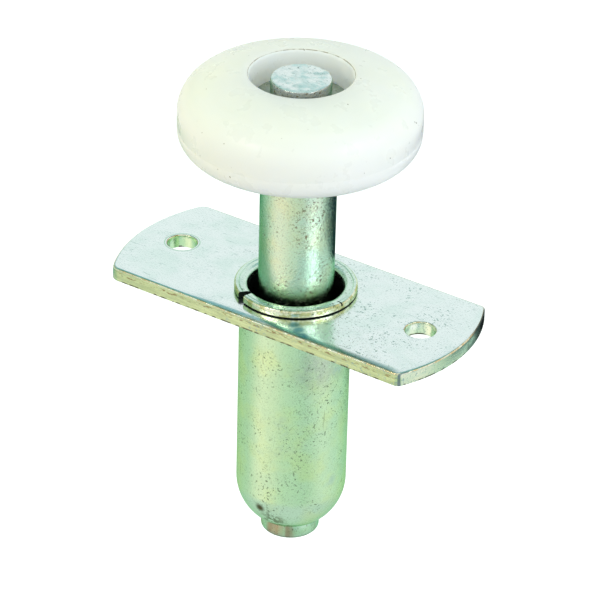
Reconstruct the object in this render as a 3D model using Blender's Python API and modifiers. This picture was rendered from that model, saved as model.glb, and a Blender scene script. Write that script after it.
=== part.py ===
"""Spring-loaded guide roller for a sliding or folding door.

A nylon wheel turns on a steel rod. The rod and its sleeve slide in a drawn steel cup that is
flared over a mounting plate. A spring in the cup holds the wheel up against its track.
The origin is on the roller's axis, in the plane of the plate's underside. Metres, +Z up.
"""
import math

import bmesh
import bpy
from mathutils import Matrix

MM = 0.001
GAP = 0.3 * MM                       # play between neighbouring pieces

# Mounting plate
PLATE_LENGTH = 50.8 * MM
PLATE_WIDTH = 21.0 * MM
PLATE_THICKNESS = 1.9 * MM
PLATE_END_RADIUS = 21.5 * MM
PLATE_CORNER_RADIUS = 1.5 * MM
PLATE_EDGE_ROUND = 0.3 * MM
PLATE_CUP_HOLE_RADIUS = 7.7 * MM     # the hole the cup passes through
PLATE_SHIFT_Y = 0.35 * MM            # the punched plate sits a little off the cup's axis
SCREW_HOLE_SPACING = 38.1 * MM
SCREW_HOLE_Y = 0.75 * MM
SCREW_HOLE_RADIUS = 2.0 * MM
SCREW_HOLE_FLARE = 0.25 * MM         # rounding left by the punch at both faces

# Housing cup: a drawn tube with a bowl-shaped bottom and a lip flared over the plate
CUP_RADIUS = 7.45 * MM
CUP_WALL = 1.1 * MM
CUP_BOTTOM_Z = -33.35 * MM
BOWL_RADIUS = 7.3 * MM
CUP_FLAT_RADIUS = 4.2 * MM           # flat ring around the hole in the bottom
LIP_RADIUS = 8.1 * MM
LIP_TOP_Z = 2.95 * MM
LIP_THICKNESS = 0.75 * MM
LIP_MOUTH_ROUND = 0.7 * MM
LIP_EDGE_ROUND = 0.25 * MM
SPLIT_ANGLE = math.radians(243)      # where the lip tore when it was flared
SPLIT_INNER_WIDTH = 0.55 * MM
SPLIT_OUTER_WIDTH = 2.1 * MM
SPLIT_OVERRUN = 0.6 * MM             # how far the split's outline runs past the lip

# Rod, sleeve and collar
ROD_RADIUS = 3.97 * MM
ROD_TOP_Z = 33.0 * MM
ROD_TOP_EDGE = 0.3 * MM
SHANK_RADIUS = 3.2 * MM
FOOT_RADIUS = 3.97 * MM
FOOT_BOTTOM_Z = -35.55 * MM
FOOT_ROUND = 0.5 * MM
SLEEVE_RADIUS = 5.02 * MM
SLEEVE_BOTTOM_Z = -5.0 * MM
SLEEVE_EDGE = 0.2 * MM
COLLAR_HEIGHT = 2.8 * MM
COLLAR_EDGE = 0.25 * MM

# Spring and its seat
SEAT_RADIUS = 5.73 * MM
SEAT_BOTTOM_Z = -29.0 * MM
SEAT_THICKNESS = 1.0 * MM
SPRING_MEAN_RADIUS = 4.9 * MM
SPRING_WIRE_RADIUS = 0.5 * MM
SPRING_OPEN_TURNS = 4.5
SPRING_CLOSED_TURNS = 0.75           # dead turns at each end
SPRING_DEAD_RISE = 0.79 * MM         # how far a dead end climbs: the wire lies beside itself

# Wheel and its washers
WHEEL_RADIUS = 15.875 * MM
WHEEL_TOP_Z = 33.7 * MM              # crown, at the recess's rim
WHEEL_SHOULDER_Z = 32.35 * MM        # where the crown meets the rounded shoulder
WHEEL_BOTTOM_Z = 23.1 * MM
WHEEL_TOP_ROUND = 4.2 * MM
WHEEL_BOTTOM_ROUND = 2.8 * MM
WHEEL_BORE_RADIUS = 4.3 * MM
RECESS_RADIUS = 6.7 * MM
RECESS_RIM_ROUND = 0.5 * MM
RECESS_FLOOR_Z = 28.9 * MM
CROWN_TURN = 75                      # degrees round the top rounding where the flat crown begins
WASHER_THICKNESS = 0.8 * MM
WASHER_EDGE = 0.12 * MM
RETAINING_WASHER_RADIUS = 6.35 * MM
THRUST_WASHER_RADIUS = 7.0 * MM

ROUND_STEPS = 48
SPRING_STEPS = 16                    # points in one turn of the wire
SHARP_ANGLE = math.radians(35)
EDGE_ANGLE = math.radians(40)        # edges sharper than this are rounded
PLATE_END_STEPS = 6                  # segments in half a plate end


def clear_scene():
    for obj in list(bpy.data.objects):
        bpy.data.objects.remove(obj, do_unlink=True)


def new_collection(name):
    collection = bpy.data.collections.new(name)
    bpy.context.scene.collection.children.link(collection)
    return collection


def material(name, color, metallic, roughness):
    mat = bpy.data.materials.new(name)
    mat.use_nodes = True
    shader = mat.node_tree.nodes["Principled BSDF"]
    shader.inputs["Base Color"].default_value = (*color, 1.0)
    shader.inputs["Metallic"].default_value = metallic
    shader.inputs["Roughness"].default_value = roughness
    return mat


def arc(center_u, center_v, radius, start, end, steps):
    """Points on an arc in a plane from start to end degrees, both ends included."""
    angles = [math.radians(start + (end - start) * i / steps) for i in range(steps + 1)]
    return [(center_u + radius * math.cos(a), center_v + radius * math.sin(a)) for a in angles]


def evaluated_mesh(obj):
    depsgraph = bpy.context.evaluated_depsgraph_get()
    return bpy.data.meshes.new_from_object(obj.evaluated_get(depsgraph))


def settle(obj, collection):
    """Replace a modelled object by one plain closed mesh, smooth on its round faces."""
    bpy.context.view_layer.update()
    mesh = evaluated_mesh(obj)
    mesh.transform(obj.matrix_world)
    mesh.name = obj.name
    work = bmesh.new()
    work.from_mesh(mesh)
    bmesh.ops.remove_doubles(work, verts=work.verts, dist=1e-7)
    work.to_mesh(mesh)
    work.free()
    name = obj.name
    bpy.data.objects.remove(obj, do_unlink=True)
    mesh.shade_smooth()
    mesh.set_sharp_from_angle(angle=SHARP_ANGLE)
    solid = bpy.data.objects.new(name, mesh)
    collection.objects.link(solid)
    return solid


def turned(name, profile, collection, closed=True):
    """Turn a profile of (r, z) points about Z; it runs down its outer side.

    A closed profile makes a ring; an open one starts and ends on the axis.
    """
    mesh = bpy.data.meshes.new(name)
    count = len(profile)
    edges = [(i, i + 1) for i in range(count - 1)]
    if closed:
        edges.append((count - 1, 0))
    mesh.from_pydata([(r, 0.0, z) for r, z in profile], edges, [])
    obj = bpy.data.objects.new(name, mesh)
    collection.objects.link(obj)
    screw = obj.modifiers.new("Turn", "SCREW")
    screw.steps = ROUND_STEPS
    screw.render_steps = ROUND_STEPS
    screw.use_merge_vertices = True
    screw.merge_threshold = 1e-6
    return settle(obj, collection)


def flat_outline(name, points, thickness, z_middle, collection):
    """A flat piece cut to an outline of (x, y) points."""
    curve = bpy.data.curves.new(name, "CURVE")
    curve.dimensions = "2D"
    curve.fill_mode = "BOTH"
    curve.extrude = thickness / 2
    spline = curve.splines.new("POLY")
    spline.points.add(len(points) - 1)
    for point, (x, y) in zip(spline.points, points):
        point.co = (x, y, 0.0, 1.0)
    spline.use_cyclic_u = True
    obj = bpy.data.objects.new(name, curve)
    obj.location.z = z_middle
    collection.objects.link(obj)
    return settle(obj, collection)


def cut(obj, cutter):
    """Cut one solid out of another and keep the cutter as a hidden guide."""
    cutter.hide_render = True
    cutter.display_type = "WIRE"
    boolean = obj.modifiers.new("Cut " + cutter.name, "BOOLEAN")
    boolean.operation = "DIFFERENCE"
    boolean.solver = "EXACT"
    boolean.object = cutter


def washer(name, inner, outer, bottom, thickness, collection, edge=WASHER_EDGE):
    """A flat ring with its outer corners broken."""
    top = bottom + thickness
    profile = [
        (inner, top),
        (outer - edge, top),
        (outer, top - edge),
        (outer, bottom + edge),
        (outer - edge, bottom),
        (inner, bottom),
    ]
    return turned(name, profile, collection)


def plate_outline():
    """The plate's outline: two straight sides, two shallow arc ends and four round corners."""
    corner_y = PLATE_WIDTH / 2 - PLATE_CORNER_RADIUS
    center = PLATE_LENGTH / 2 - PLATE_END_RADIUS
    reach = PLATE_END_RADIUS - PLATE_CORNER_RADIUS
    corner_x = center + math.sqrt(reach ** 2 - corner_y ** 2)
    swing = math.degrees(math.asin(corner_y / reach))
    quarter = arc(center, 0.0, PLATE_END_RADIUS, 0, swing, PLATE_END_STEPS)
    quarter += arc(corner_x, corner_y, PLATE_CORNER_RADIUS, swing, 90, 4)[1:]
    right = [(x, -y) for x, y in reversed(quarter[1:])] + quarter
    left = [(-x, -y) for x, y in right]
    return [(x, y + PLATE_SHIFT_Y) for x, y in right + left]


def hole_cutter(name, radius, x, collection):
    """A hole's cutter: it flares at both faces where the punch rounded the hole's edges."""
    flare = SCREW_HOLE_FLARE
    beyond = PLATE_THICKNESS / 2
    top = PLATE_THICKNESS
    profile = [
        (0.0, top + beyond),
        (radius + flare, top + beyond),
        (radius + flare, top),
        (radius, top - flare),
        (radius, flare),
        (radius + flare, 0.0),
        (radius + flare, -beyond),
        (0.0, -beyond),
    ]
    cutter = turned(name, profile, collection, closed=False)
    cutter.data.transform(Matrix.Translation((x, SCREW_HOLE_Y, 0.0)))
    return cutter


def make_mounting_plate(parts, cutters):
    plate = flat_outline("mounting_plate", plate_outline(), PLATE_THICKNESS,
                         PLATE_THICKNESS / 2, parts)
    bevel = plate.modifiers.new("Rounded edges", "BEVEL")
    bevel.width = PLATE_EDGE_ROUND
    bevel.segments = 3
    bevel.limit_method = "ANGLE"
    bevel.angle_limit = EDGE_ANGLE
    cut(plate, hole_cutter("screw_hole_left", SCREW_HOLE_RADIUS, -SCREW_HOLE_SPACING / 2, cutters))
    cut(plate, hole_cutter("screw_hole_right", SCREW_HOLE_RADIUS, SCREW_HOLE_SPACING / 2, cutters))
    bpy.ops.mesh.primitive_cylinder_add(vertices=ROUND_STEPS, radius=PLATE_CUP_HOLE_RADIUS,
                                        depth=4 * PLATE_THICKNESS)
    cutter = bpy.context.active_object
    cutter.name = "cup_hole"
    for home in list(cutter.users_collection):
        home.objects.unlink(cutter)
    cutters.objects.link(cutter)
    cut(plate, cutter)
    return plate


def cup_profile():
    """The cup's wall: down its outside, in under the bowl, and up its bore."""
    bore = CUP_RADIUS - CUP_WALL
    bowl_center_r = CUP_RADIUS - BOWL_RADIUS
    flat_turn = math.degrees(math.acos((CUP_FLAT_RADIUS - bowl_center_r) / BOWL_RADIUS))
    bowl_center_z = CUP_BOTTOM_Z + BOWL_RADIUS * math.sin(math.radians(flat_turn))
    inner_bowl = BOWL_RADIUS - CUP_WALL
    floor_z = CUP_BOTTOM_Z + CUP_WALL
    inner_turn = math.degrees(math.asin((bowl_center_z - floor_z) / inner_bowl))
    hole = SHANK_RADIUS + GAP
    lip_under = LIP_TOP_Z - LIP_THICKNESS
    mouth_z = LIP_TOP_Z - LIP_MOUTH_ROUND
    points = arc(LIP_RADIUS - LIP_EDGE_ROUND, LIP_TOP_Z - LIP_EDGE_ROUND, LIP_EDGE_ROUND, 90, 0, 3)
    points += [(LIP_RADIUS, lip_under), (CUP_RADIUS, lip_under)]
    points += arc(bowl_center_r, bowl_center_z, BOWL_RADIUS, 0, -flat_turn, 9)
    points += [(hole, CUP_BOTTOM_Z), (hole, floor_z)]
    points += arc(bowl_center_r, bowl_center_z, inner_bowl, -inner_turn, 0, 6)
    points += arc(bore + LIP_MOUTH_ROUND, mouth_z, LIP_MOUTH_ROUND, 180, 90, 4)
    return points


def split_outline():
    """The split's outline: a V that opens outward through the lip."""
    inner_r = CUP_RADIUS - CUP_WALL - SPLIT_OVERRUN
    outer_r = LIP_RADIUS + SPLIT_OVERRUN
    corners = [
        (inner_r, -SPLIT_INNER_WIDTH / 2),
        (outer_r, -SPLIT_OUTER_WIDTH / 2),
        (outer_r, SPLIT_OUTER_WIDTH / 2),
        (inner_r, SPLIT_INNER_WIDTH / 2),
    ]
    cos_a = math.cos(SPLIT_ANGLE)
    sin_a = math.sin(SPLIT_ANGLE)
    return [(x * cos_a - y * sin_a, x * sin_a + y * cos_a) for x, y in corners]


def make_housing_cup(parts, cutters):
    cup = turned("housing_cup", cup_profile(), parts)
    split_bottom = PLATE_THICKNESS + GAP
    split_top = LIP_TOP_Z + GAP
    split = flat_outline("lip_split", split_outline(), split_top - split_bottom,
                         (split_top + split_bottom) / 2, cutters)
    cut(cup, split)
    return cup


def make_axle_rod(parts):
    """The through rod: full size in the wheel and sleeve, thinner below, with an upset foot."""
    foot_top = CUP_BOTTOM_Z - GAP
    profile = [(0.0, ROD_TOP_Z), (ROD_RADIUS - ROD_TOP_EDGE, ROD_TOP_Z),
               (ROD_RADIUS, ROD_TOP_Z - ROD_TOP_EDGE),
               (ROD_RADIUS, SLEEVE_BOTTOM_Z), (SHANK_RADIUS, SLEEVE_BOTTOM_Z),
               (SHANK_RADIUS, foot_top), (FOOT_RADIUS, foot_top)]
    profile += arc(FOOT_RADIUS - FOOT_ROUND, FOOT_BOTTOM_Z + FOOT_ROUND, FOOT_ROUND, 0, -90, 3)
    profile.append((0.0, FOOT_BOTTOM_Z))
    return turned("axle_rod", profile, parts, closed=False)


def make_plunger_sleeve(parts):
    top = WHEEL_BOTTOM_Z - GAP - WASHER_THICKNESS - GAP
    return washer("plunger_sleeve", ROD_RADIUS + GAP, SLEEVE_RADIUS, SLEEVE_BOTTOM_Z,
                  top - SLEEVE_BOTTOM_Z, parts, edge=SLEEVE_EDGE)


def collar_bottom_z():
    return SLEEVE_BOTTOM_Z - GAP - COLLAR_HEIGHT


def make_guide_collar(parts):
    bore = CUP_RADIUS - CUP_WALL
    return washer("guide_collar", SHANK_RADIUS + GAP, bore - GAP, collar_bottom_z(),
                  COLLAR_HEIGHT, parts, edge=COLLAR_EDGE)


def spring_height(turn, bottom, top):
    """Height of the wire's middle after this many turns; dead turns lie nearly flat."""
    open_start = bottom + SPRING_DEAD_RISE
    open_end = top - SPRING_DEAD_RISE
    if turn < SPRING_CLOSED_TURNS:
        return bottom + SPRING_DEAD_RISE * turn / SPRING_CLOSED_TURNS
    past = turn - SPRING_CLOSED_TURNS - SPRING_OPEN_TURNS
    if past > 0:
        return open_end + SPRING_DEAD_RISE * past / SPRING_CLOSED_TURNS
    open_share = (turn - SPRING_CLOSED_TURNS) / SPRING_OPEN_TURNS
    return open_start + (open_end - open_start) * open_share


def make_compression_spring(parts):
    bottom = SEAT_BOTTOM_Z + SEAT_THICKNESS + GAP + SPRING_WIRE_RADIUS
    top = collar_bottom_z() - GAP - SPRING_WIRE_RADIUS
    turns = SPRING_OPEN_TURNS + 2 * SPRING_CLOSED_TURNS
    count = int(turns * SPRING_STEPS) + 1
    curve = bpy.data.curves.new("compression_spring", "CURVE")
    curve.dimensions = "3D"
    curve.bevel_depth = SPRING_WIRE_RADIUS
    curve.bevel_resolution = 2
    curve.use_fill_caps = True
    spline = curve.splines.new("POLY")
    spline.points.add(count - 1)
    for i, point in enumerate(spline.points):
        turn = turns * i / (count - 1)
        angle = 2 * math.pi * turn
        x = SPRING_MEAN_RADIUS * math.cos(angle)
        y = SPRING_MEAN_RADIUS * math.sin(angle)
        point.co = (x, y, spring_height(turn, bottom, top), 1.0)
    obj = bpy.data.objects.new("compression_spring", curve)
    parts.objects.link(obj)
    return settle(obj, parts)


def make_nylon_wheel(parts):
    profile = arc(WHEEL_RADIUS - WHEEL_TOP_ROUND, WHEEL_SHOULDER_Z - WHEEL_TOP_ROUND,
                  WHEEL_TOP_ROUND, CROWN_TURN, 0, 8)
    profile += arc(WHEEL_RADIUS - WHEEL_BOTTOM_ROUND, WHEEL_BOTTOM_Z + WHEEL_BOTTOM_ROUND,
                   WHEEL_BOTTOM_ROUND, 0, -90, 6)
    profile += [(WHEEL_BORE_RADIUS, WHEEL_BOTTOM_Z), (WHEEL_BORE_RADIUS, RECESS_FLOOR_Z),
                (RECESS_RADIUS, RECESS_FLOOR_Z)]
    profile += arc(RECESS_RADIUS + RECESS_RIM_ROUND, WHEEL_TOP_Z - RECESS_RIM_ROUND,
                   RECESS_RIM_ROUND, 180, 90, 4)
    return turned("nylon_wheel", profile, parts)


def make_washers(parts):
    rod_hole = ROD_RADIUS + GAP
    thrust = washer("thrust_washer", rod_hole, THRUST_WASHER_RADIUS,
                    WHEEL_BOTTOM_Z - GAP - WASHER_THICKNESS, WASHER_THICKNESS, parts)
    retaining = washer("retaining_washer", rod_hole, RETAINING_WASHER_RADIUS,
                       RECESS_FLOOR_Z + GAP, WASHER_THICKNESS, parts)
    seat = washer("spring_seat", SHANK_RADIUS + GAP, SEAT_RADIUS, SEAT_BOTTOM_Z,
                  SEAT_THICKNESS, parts)
    return [thrust, retaining, seat]


def main():
    clear_scene()
    parts = new_collection("door_guide_roller")
    cutters = new_collection("cutters")
    zinc_plate = material("zinc_plated_sheet", (0.62, 0.74, 0.70), 1.0, 0.32)
    zinc_cup = material("zinc_plated_cup", (0.55, 0.68, 0.50), 1.0, 0.28)
    bright_steel = material("bright_steel", (0.66, 0.74, 0.66), 1.0, 0.2)
    spring_steel = material("spring_steel", (0.30, 0.30, 0.31), 1.0, 0.35)
    nylon = material("white_nylon", (0.86, 0.88, 0.82), 0.0, 0.4)
    finishes = [
        (make_mounting_plate(parts, cutters), zinc_plate),
        (make_housing_cup(parts, cutters), zinc_cup),
        (make_axle_rod(parts), bright_steel),
        (make_plunger_sleeve(parts), bright_steel),
        (make_guide_collar(parts), bright_steel),
        (make_compression_spring(parts), spring_steel),
        (make_nylon_wheel(parts), nylon),
    ]
    finishes += [(ring, zinc_plate) for ring in make_washers(parts)]
    for obj, finish in finishes:
        obj.data.materials.clear()
        obj.data.materials.append(finish)


main()
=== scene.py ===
"""Looks of the sliding door roller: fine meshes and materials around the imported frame."""
import math

import bmesh
import bpy
from mathutils import Matrix, Vector, noise


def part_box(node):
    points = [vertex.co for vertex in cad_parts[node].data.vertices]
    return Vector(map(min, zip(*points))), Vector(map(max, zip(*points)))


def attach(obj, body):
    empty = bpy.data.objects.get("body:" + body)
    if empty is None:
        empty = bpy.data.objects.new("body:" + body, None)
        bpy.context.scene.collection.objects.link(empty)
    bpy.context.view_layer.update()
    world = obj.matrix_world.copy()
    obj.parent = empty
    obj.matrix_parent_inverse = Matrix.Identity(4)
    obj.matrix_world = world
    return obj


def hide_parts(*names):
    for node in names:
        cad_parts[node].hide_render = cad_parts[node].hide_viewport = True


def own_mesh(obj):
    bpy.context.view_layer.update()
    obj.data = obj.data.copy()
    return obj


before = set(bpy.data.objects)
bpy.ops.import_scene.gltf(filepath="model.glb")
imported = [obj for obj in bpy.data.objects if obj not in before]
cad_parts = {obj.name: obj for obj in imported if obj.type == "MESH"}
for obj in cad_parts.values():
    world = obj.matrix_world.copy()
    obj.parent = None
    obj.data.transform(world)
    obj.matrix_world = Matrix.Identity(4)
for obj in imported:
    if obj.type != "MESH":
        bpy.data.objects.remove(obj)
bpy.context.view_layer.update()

MM = 0.001
TAU = 2 * math.pi

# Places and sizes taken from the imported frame
plate_low, plate_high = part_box("mounting_plate")
cup_low, cup_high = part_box("housing_cup")
rod_low, rod_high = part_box("axle_rod")
sleeve_low, sleeve_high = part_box("plunger_sleeve")
collar_low, collar_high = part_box("guide_collar")
spring_low, spring_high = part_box("compression_spring")
wheel_low, wheel_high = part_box("nylon_wheel")

PLATE_TOP = plate_high.z
LIP_TOP = cup_high.z
LIP_RADIUS = 8.15 * MM
LIP_UNDER = LIP_TOP - 0.97 * MM
CUP_RADIUS = 7.45 * MM
CUP_WALL = 1.1 * MM
BOWL_RADIUS = 7.3 * MM
CUP_FLAT_RADIUS = 4.25 * MM
CUP_HOLE_RADIUS = 3.5 * MM
ROD_RADIUS = 3.97 * MM
SHANK_RADIUS = 3.2 * MM
FOOT_RADIUS = 3.97 * MM
SLEEVE_RADIUS = sleeve_high.x
WHEEL_RADIUS = wheel_high.x
WHEEL_BORE = 4.3 * MM
RECESS_RADIUS = 6.7 * MM
RECESS_FLOOR = 28.9 * MM
WHEEL_SHOULDER = 32.35 * MM
SCREW_SPACING = 38.1 * MM
SCREW_HOLE_RADIUS = 2.0 * MM
SCREW_HOLE_Y = 0.75 * MM
PLATE_END_RADIUS = 21.5 * MM
PLATE_CORNERS = {1: 1.0 * MM, -1: 1.5 * MM}      # at the right and the left end
SPLIT_ANGLE = math.radians(243)
NICK_ANGLE = math.radians(352)
FLOOR_Z = -0.12

# Small shapes that only this visual layer has
CHAMFER = 0.1 * MM
LIP_EDGE_ROUND = 0.32 * MM
MOUTH_ROUND = 0.7 * MM
MOUTH_BAND = 0.5 * MM                            # plated stretch of the bore below its round mouth
GROOVE_INSET = 0.62 * MM
GROOVE_DEPTH = 0.06 * MM
GROOVE_HALF_WIDTH = 0.09 * MM
ARM_LIFT = 0.16 * MM
ARM_FADE = math.radians(12)
LIP_WAVE = 0.05 * MM
LIP_SWAY = 0.10 * MM
LIP_STILL_RADIUS = 6.6 * MM                      # inside it the lip keeps its radius
ROLL_DEPTH = 0.10 * MM
ROLL_WIDTH = 1.6 * MM
PLATE_EDGE_ROUND = 0.28 * MM
HOLE_ROUND = 0.2 * MM
HOLE_LOW_ROUND = 0.05 * MM
CUP_HOLE_GAP = 0.06 * MM
ROD_EDGE_ROUND = 0.25 * MM
FOOT_EDGE_ROUND = 0.45 * MM
ROD_ROUGHNESS = 0.10 * MM
ROD_BURR = 0.16 * MM

# Places of marks on the metal, and of painted reflections on the plate
# Painted reflection: places of the blue streaks on the plate in front of the lip
BLUE_REFLECTION_PLACES = [(5.2 * MM, -7.9 * MM), (6.4 * MM, -8.7 * MM), (7.6 * MM, -9.6 * MM)]
CUP_GREY_PLACE = (6.4 * MM, -3.8 * MM, -6.5 * MM)
STAIN_PLACE = (-0.1 * MM, -7.2 * MM, -29.2 * MM)
SMEAR_PLACE = (1.2 * MM, -5.9 * MM, -31.2 * MM)
FOOT_PATCH_PLACE = (0.9 * MM, -3.9 * MM, -34.5 * MM)

# Colours of the plate
PALE_ZINC = (0.89, 0.975, 0.965)
PALE_ZINC_SHADE = (0.81, 0.94, 0.905)
RING_GREEN = (0.50, 0.74, 0.58)
CUT_GREEN = (0.60, 0.74, 0.44)
CUT_GREEN_SHADE = (0.46, 0.58, 0.34)
TOOL_BROWN = (0.30, 0.27, 0.14)
CUT_END = (0.72, 0.80, 0.58)
CUT_END_SHADE = (0.60, 0.75, 0.55)
LEFT_HOLE_WALL = (0.70, 0.92, 0.64)
RIGHT_HOLE_WALL = (0.86, 0.98, 0.80)
EDGE_BRASS = (0.80, 0.62, 0.34)
# Painted highlight: the pale flecks on the plate's brassy rounded top edge
EDGE_HIGHLIGHT_CREAM = (1.0, 0.96, 0.76)
# Painted reflections on the plate's front edge: teal where the sheet rolls over, and a darker teal sheen
ROLLED_EDGE_REFLECTION_TEAL = (0.50, 0.72, 0.74)
SHEEN_TEAL = (0.20, 0.40, 0.38)
# Painted reflection: the blue streaks in front of the lip
REFLECTION_BLUE = (0.12, 0.36, 0.46)
BACK_BROWN = (0.36, 0.28, 0.13)
CORNER_GREY = (0.24, 0.30, 0.30)
END_STRIP_BLACK = (0.02, 0.03, 0.03)
RIM_BROWN = (0.30, 0.20, 0.09)
BURR_BLACK = (0.10, 0.09, 0.05)
PLATE_SPECK = (0.34, 0.49, 0.45)

# Colours of the cup
CUP_GREEN = (0.61, 0.84, 0.60)
CUP_YELLOW = (0.66, 0.85, 0.52)
CUP_BLOOM = (0.50, 0.68, 0.62)
CUP_GREY = (0.50, 0.60, 0.50)
STAIN_BROWN = (0.10, 0.08, 0.04)
LIP_PALE = (0.78, 0.93, 0.86)
LIP_BRASS = (0.66, 0.62, 0.30)
# Painted highlight: the pale flecks on the lip's brassy rounded outer edge
LIP_HIGHLIGHT_CREAM = (1.0, 0.97, 0.76)
CUP_SPECK = (0.17, 0.22, 0.14)
# Painted shade: near-black inside the cup, where the bore lies in shade
BORE_SHADE_BLACK = (0.006, 0.007, 0.007)
BORE_SHADE_GREY = (0.02, 0.024, 0.022)

# Colours of the rod, its ends and the plain steel
ROD_GREEN = (0.64, 0.82, 0.66)
ROD_YELLOW = (0.70, 0.81, 0.58)
ROD_END_GREY = (0.57, 0.58, 0.56)
ROD_SPECK = (0.20, 0.13, 0.06)
SHEARED_PALE = (0.95, 1.0, 0.99)
SHEARED_BLUE = (0.74, 0.90, 0.90)
SHEARED_SPECK = (0.34, 0.42, 0.40)
FOOT_GREEN = (0.46, 0.72, 0.50)
FOOT_BROWN = (0.42, 0.38, 0.25)
FOOT_PATCH_BROWN = (0.34, 0.32, 0.22)
FOOT_EDGE_DARK = (0.16, 0.20, 0.14)
FOOT_SPECK = (0.14, 0.13, 0.09)
WASHER_GREY = (0.50, 0.50, 0.47)
WASHER_SHADE = (0.40, 0.40, 0.38)
SPRING_GREY = (0.30, 0.30, 0.31)
SPRING_SHADE = (0.24, 0.23, 0.22)
STEEL_SPECK = (0.08, 0.08, 0.07)

# Tints of the metals' gloss
GREEN_GLOSS = (0.50, 0.78, 0.58)
PALE_GLOSS = (0.85, 0.95, 0.92)
CUP_GLOSS = (0.60, 0.85, 0.60)
ROD_GLOSS = (0.36, 0.70, 0.46)
SHEARED_GLOSS = (0.95, 1.0, 1.0)

# Colours of the wheel
NYLON_MILKY = (0.955, 0.897, 0.845)
NYLON_CREAM = (0.955, 0.897, 0.815)
# Painted light: the wheel's recess whitened for light passing through the nylon
RECESS_PAINTED_LIGHT = (1.0, 1.0, 0.98)
DIRT_BROWN = (0.20, 0.13, 0.07)

# The camera looks down on the plate from its front right
CAMERA_AZIMUTH = math.radians(33.7)
CAMERA_ELEVATION = math.radians(30.6)
CAMERA_ROLL = math.radians(1.5)
CAMERA_DISTANCE = 0.480
CAMERA_LENS = 218.4
CAMERA_SHIFT = (4.1 / 600, -12.5 / 600)


# ---------------------------------------------------------------- geometry helpers

def arc(center_r, center_z, radius, start, end, steps):
    """Points (r, z) on an arc from start to end degrees, both ends included."""
    points = []
    for i in range(steps + 1):
        angle = math.radians(start + (end - start) * i / steps)
        points.append((center_r + radius * math.cos(angle), center_z + radius * math.sin(angle)))
    return points


def line(start, end, steps):
    """Points from start to end of a straight run, without its first point."""
    return [(start[0] + (end[0] - start[0]) * i / steps, start[1] + (end[1] - start[1]) * i / steps)
            for i in range(1, steps + 1)]


def add_object(name, mesh, materials, smooth_angle=35):
    mesh.validate()
    for mat in materials:
        mesh.materials.append(mat)
    mesh.shade_smooth()
    mesh.set_sharp_from_angle(angle=math.radians(smooth_angle))
    obj = bpy.data.objects.new(name, mesh)
    bpy.context.scene.collection.objects.link(obj)
    return obj


def lathe(name, profile, materials, steps=160, closed=True, shape=None, slot=None, smooth_angle=35):
    """Turn a profile of (r, z) points about Z.

    shape(r, z, angle) gives the moved (r, z); slot(i) gives a run's material index.
    """
    work = bmesh.new()
    rings = []
    for r, z in profile:
        if r < 1e-7:
            moved = shape(r, z, 0.0) if shape else (r, z)
            rings.append([work.verts.new((0.0, 0.0, moved[1]))])
            continue
        ring = []
        for k in range(steps):
            angle = TAU * k / steps
            rr, zz = shape(r, z, angle) if shape else (r, z)
            ring.append(work.verts.new((rr * math.cos(angle), rr * math.sin(angle), zz)))
        rings.append(ring)
    runs = len(profile) if closed else len(profile) - 1
    for i in range(runs):
        above, below = rings[i], rings[(i + 1) % len(rings)]
        for k in range(steps):
            n = (k + 1) % steps
            corners = [above[k % len(above)], below[k % len(below)],
                       below[n % len(below)], above[n % len(above)]]
            unique = list(dict.fromkeys(corners))
            face = work.faces.new(unique)
            face.material_index = slot(i) if slot else 0
    mesh = bpy.data.meshes.new(name)
    work.to_mesh(mesh)
    work.free()
    return add_object(name, mesh, materials, smooth_angle)


def prism(name, outline, low, high):
    """A closed block from an anticlockwise outline of (x, y) points."""
    work = bmesh.new()
    bottom = work.faces.new([work.verts.new((x, y, low)) for x, y in outline])
    bmesh.ops.recalc_face_normals(work, faces=[bottom])
    grown = bmesh.ops.extrude_face_region(work, geom=[bottom])
    top = [v for v in grown["geom"] if isinstance(v, bmesh.types.BMVert)]
    bmesh.ops.translate(work, verts=top, vec=(0.0, 0.0, high - low))
    bmesh.ops.recalc_face_normals(work, faces=work.faces)
    mesh = bpy.data.meshes.new(name)
    work.to_mesh(mesh)
    work.free()
    obj = bpy.data.objects.new(name, mesh)
    bpy.context.scene.collection.objects.link(obj)
    return obj


def carve(obj, cutter):
    """Cut with an exact Boolean, keep the result and remove the cutter."""
    modifier = obj.modifiers.new("Carve", "BOOLEAN")
    modifier.operation = "DIFFERENCE"
    modifier.solver = "EXACT"
    modifier.object = cutter
    apply_modifiers(obj)
    bpy.data.objects.remove(cutter, do_unlink=True)


def apply_modifiers(obj):
    bpy.context.view_layer.update()
    depsgraph = bpy.context.evaluated_depsgraph_get()
    mesh = bpy.data.meshes.new_from_object(obj.evaluated_get(depsgraph))
    obj.modifiers.clear()
    obj.data = mesh


def angle_from(angle, center):
    """Signed angle in radians from center to angle, within half a turn."""
    return (angle - center + math.pi) % TAU - math.pi


def smooth_step(value):
    value = max(0.0, min(1.0, value))
    return value * value * (3 - 2 * value)


# ---------------------------------------------------------------- material helpers

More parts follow.
